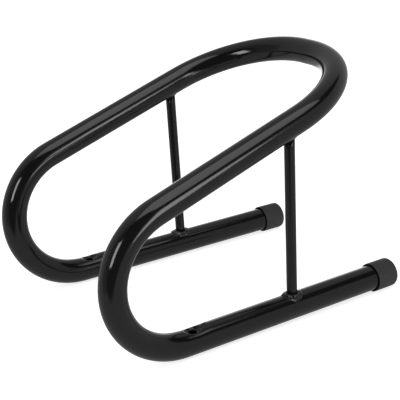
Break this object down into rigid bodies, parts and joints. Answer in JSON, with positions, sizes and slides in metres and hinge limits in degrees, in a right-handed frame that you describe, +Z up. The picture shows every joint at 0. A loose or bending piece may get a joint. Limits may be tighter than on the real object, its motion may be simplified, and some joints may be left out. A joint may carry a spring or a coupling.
{
  "type": "bicycle wheel stand",
  "caption": "Floor stand that holds one bicycle wheel upright: a bent round tube with two legs, two sloping arms and a rear loop, braced by struts, with capped ends.",
  "frame": {"origin": "on the floor, midway between the two fixing holes", "axes": "+X from the front bends, where the wheel rolls in, towards the capped ends; +Y to the left; +Z up"},
  "size_m": [0.3327, 0.2362, 0.2399],
  "materials": {
    "powder_coat": "glossy black powder coat on steel",
    "cap_plastic": "matte dark grey moulded plastic"
  },
  "bodies": {
    "root": {"frame_tube": "powder_coat", "strut_left": "powder_coat", "strut_right": "powder_coat", "foot_weld_left": "powder_coat", "foot_weld_right": "powder_coat", "head_weld_left": "powder_coat", "head_weld_right": "powder_coat", "end_cap_left": "cap_plastic", "end_cap_right": "cap_plastic"}
  },
  "joints": []
}
